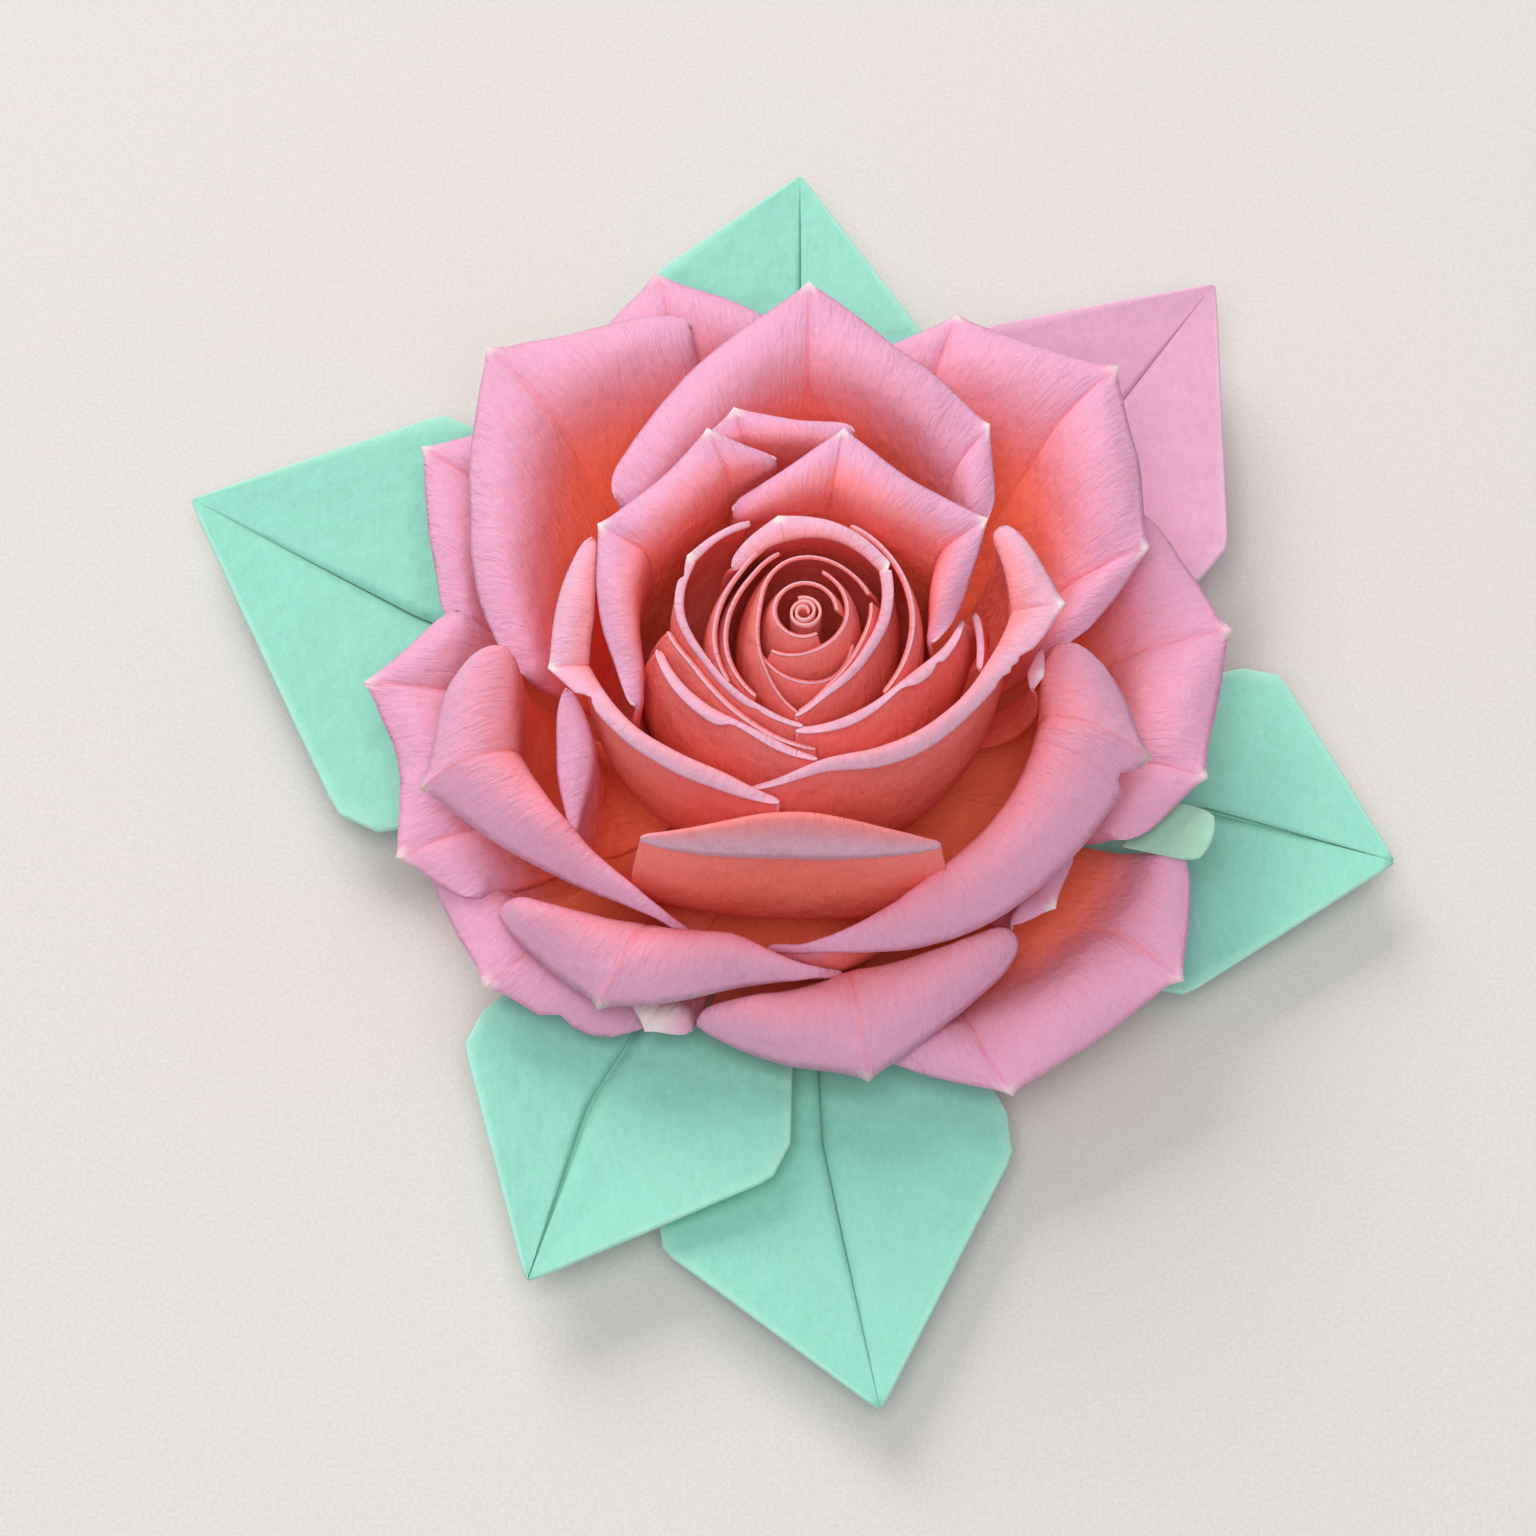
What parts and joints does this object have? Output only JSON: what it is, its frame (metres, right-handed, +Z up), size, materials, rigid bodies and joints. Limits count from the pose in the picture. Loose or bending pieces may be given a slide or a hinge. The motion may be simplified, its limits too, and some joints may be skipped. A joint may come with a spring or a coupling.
{
  "type": "paper flower",
  "caption": "Folded paper rose with a rolled heart, cupped and curled petals and folded leaves, glued on a flat round base to lie on a table.",
  "frame": {"origin": "middle of the flat underside of the base disc, on the flower's own axis", "axes": "+Z up along the rolled core to the heart of the bud; -Y towards the two leaves at the front of the flower; +X to its right"},
  "size_m": [0.1502, 0.1659, 0.0473],
  "materials": {
    "coral_card": "matt dyed card, coral red",
    "pink_card": "matt dyed card, coral fading to dusty pink at the rims",
    "rose_card": "matt dyed card, dusty rose",
    "mint_card": "matt dyed card, mint green",
    "pale_card": "matt dyed card, pale green",
    "core_card": "tightly rolled dull red card"
  },
  "bodies": {
    "root": {"base_disc": "mint_card", "core_roll": "core_card", "centre_roll": "coral_card", "heart_petal_1": "coral_card", "heart_petal_2": "coral_card", "heart_petal_3": "coral_card", "heart_petal_4": "coral_card", "heart_petal_5": "coral_card", "bud_petal_1": "coral_card", "bud_petal_2": "coral_card", "bud_petal_3": "coral_card", "bud_petal_4": "coral_card", "bud_petal_5": "coral_card", "bud_petal_6": "coral_card", "bud_petal_7": "coral_card", "bud_petal_8": "coral_card", "hood_petal": "coral_card", "crown_petal_right": "pink_card", "crown_petal_left": "pink_card", "crown_petal_rear": "pink_card", "wrap_petal_right": "coral_card", "wrap_petal_left": "coral_card", "wrap_petal_front": "coral_card", "small_petal_right": "coral_card", "small_petal_left": "pink_card", "bloom_petal_top": "pink_card", "bloom_petal_right": "pink_card", "bloom_petal_left": "pink_card", "curled_petal_right": "pink_card", "curled_petal_left": "pink_card", "small_petal_front": "pink_card", "curled_petal_lower_left": "pink_card", "curled_petal_front": "pink_card", "outer_petal_right": "pink_card", "outer_petal_left": "pink_card", "outer_petal_top": "pink_card", "outer_petal_upper_left": "pink_card", "small_petal_lower": "pink_card", "outer_petal_lower_left": "pink_card", "outer_petal_lower_right": "pink_card", "leaf_top": "mint_card", "leaf_left": "mint_card", "leaf_lower_left": "mint_card", "leaf_lower": "mint_card", "leaf_right": "mint_card", "pink_leaf": "rose_card", "leaf_tab": "pale_card"}
  },
  "joints": []
}
